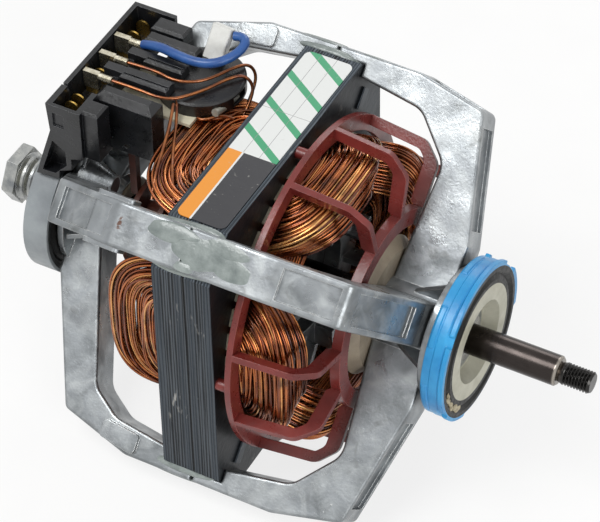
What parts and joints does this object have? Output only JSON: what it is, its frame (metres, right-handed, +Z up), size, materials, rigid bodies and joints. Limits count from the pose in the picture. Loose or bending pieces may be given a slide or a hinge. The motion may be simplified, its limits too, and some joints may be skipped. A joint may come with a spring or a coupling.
{
  "type": "dryer motor",
  "caption": "Open-frame induction motor for a clothes dryer, with die-cast end frames, resilient ring mounts, a threaded output shaft and a terminal switch housing.",
  "frame": {"origin": "centre of the front resilient ring, on the shaft's axis", "axes": "+X along the shaft, out of the threaded end; +Z up, out of the label face; +Y to the side away from the picture's viewer"},
  "size_m": [0.2687, 0.1466, 0.1527],
  "materials": {
    "lamination_steel": "punched and stacked",
    "liner_film": "film",
    "magnet_wire": "enamelled",
    "die_cast": "die-cast",
    "epoxy": "cured bead",
    "bronze": "sintered",
    "felt": "felt",
    "cap_plastic": "moulded",
    "insert_plastic": "moulded",
    "ring_rubber": "moulded",
    "front_band": "moulded",
    "rear_band": "moulded",
    "shaft_steel": "ground",
    "zinc_plate": "zinc plated",
    "rotor_steel": "turned",
    "rotor_aluminium": "die-cast",
    "governor_steel": "zinc plated",
    "collar_plastic": "moulded",
    "cage_plastic": "moulded",
    "label_film": "printed film",
    "switch_plastic": "moulded",
    "tab_brass": "stamped",
    "tinned_brass": "tin plated",
    "contact_silver": "polished",
    "protector_plastic": "moulded",
    "strap_plastic": "moulded",
    "nylon": "moulded",
    "lead_blue": "extruded"
  },
  "bodies": {
    "stator": {"stator_core": "lamination_steel", "slot_liners": "liner_film", "start_winding": "magnet_wire", "run_coil_top": "magnet_wire", "run_coil_near": "magnet_wire", "run_coil_bottom": "magnet_wire", "run_coil_far": "magnet_wire", "run_wire_top": "magnet_wire", "run_wire_near": "magnet_wire", "run_wire_bottom": "magnet_wire", "run_wire_far": "magnet_wire", "front_end_frame": "die_cast", "rear_end_frame": "die_cast", "corner_bonds": "epoxy", "front_bearing": "bronze", "rear_bearing": "bronze", "front_felt": "felt", "rear_felt": "felt", "front_bearing_cap": "cap_plastic", "rear_bearing_cap": "cap_plastic", "front_mount_insert": "insert_plastic", "rear_mount_insert": "insert_plastic", "front_mount_rubber": "ring_rubber", "rear_mount_rubber": "ring_rubber", "front_mount_band": "front_band", "rear_mount_band": "rear_band", "winding_cage": "cage_plastic", "cage_base_ring": "cage_plastic", "cage_nose_ring": "cage_plastic", "label": "label_film", "switch_housing": "switch_plastic", "lever_pin": "shaft_steel", "contact_leaf": "tab_brass", "fixed_contact": "contact_silver", "terminal_tabs": "tab_brass", "winding_terminals": "tinned_brass", "lead_terminal": "tinned_brass", "thermal_protector": "protector_plastic", "protector_strap": "strap_plastic", "flag_connector": "nylon", "blue_lead": "lead_blue", "winding_leads": "magnet_wire"},
    "rotor": {"shaft": "shaft_steel", "retaining_ring": "shaft_steel", "thrust_washers": "bronze", "drive_pulley": "zinc_plate", "rotor_core": "rotor_steel", "rotor_cage": "rotor_aluminium", "governor_base": "governor_steel", "weight_pins": "governor_steel", "governor_springs": "governor_steel"},
    "collar": {"governor_collar": "collar_plastic"},
    "weight_top": {"governor_weight_top": "governor_steel"},
    "weight_bottom": {"governor_weight_bottom": "governor_steel"},
    "switch_lever": {"switch_lever": "collar_plastic"}
  },
  "joints": [
    {"name": "rotor_spin", "type": "hinge", "parent": "stator", "child": "rotor", "pos_m": [0, 0, 0], "axis": [1, 0, 0], "continuous": true},
    {"name": "collar_slide", "type": "slide", "parent": "rotor", "child": "collar", "axis": [1, 0, 0], "range_m": [0, 0.004], "stiffness_N_per_m": 400},
    {"name": "weight_top_swing", "type": "hinge", "parent": "rotor", "child": "weight_top", "pos_m": [-0.13575, 0, 0.024], "axis": [0, 1, 0], "range_deg": [-21, 1]},
    {"name": "weight_bottom_swing", "type": "hinge", "parent": "rotor", "child": "weight_bottom", "pos_m": [-0.13575, 0, -0.024], "axis": [0, 1, 0], "range_deg": [-1, 21]},
    {"name": "switch_lever_swing", "type": "hinge", "parent": "stator", "child": "switch_lever", "pos_m": [-0.1517, -0.003, 0.046], "axis": [0, 1, 0], "range_deg": [-9, 1]}
  ],
  "couplings": [
    {"joint": "weight_top_swing", "follows": "collar_slide", "rad_per_m": -85.47},
    {"joint": "weight_bottom_swing", "follows": "collar_slide", "rad_per_m": 85.47},
    {"joint": "switch_lever_swing", "follows": "collar_slide", "rad_per_m": -36.765}
  ]
}
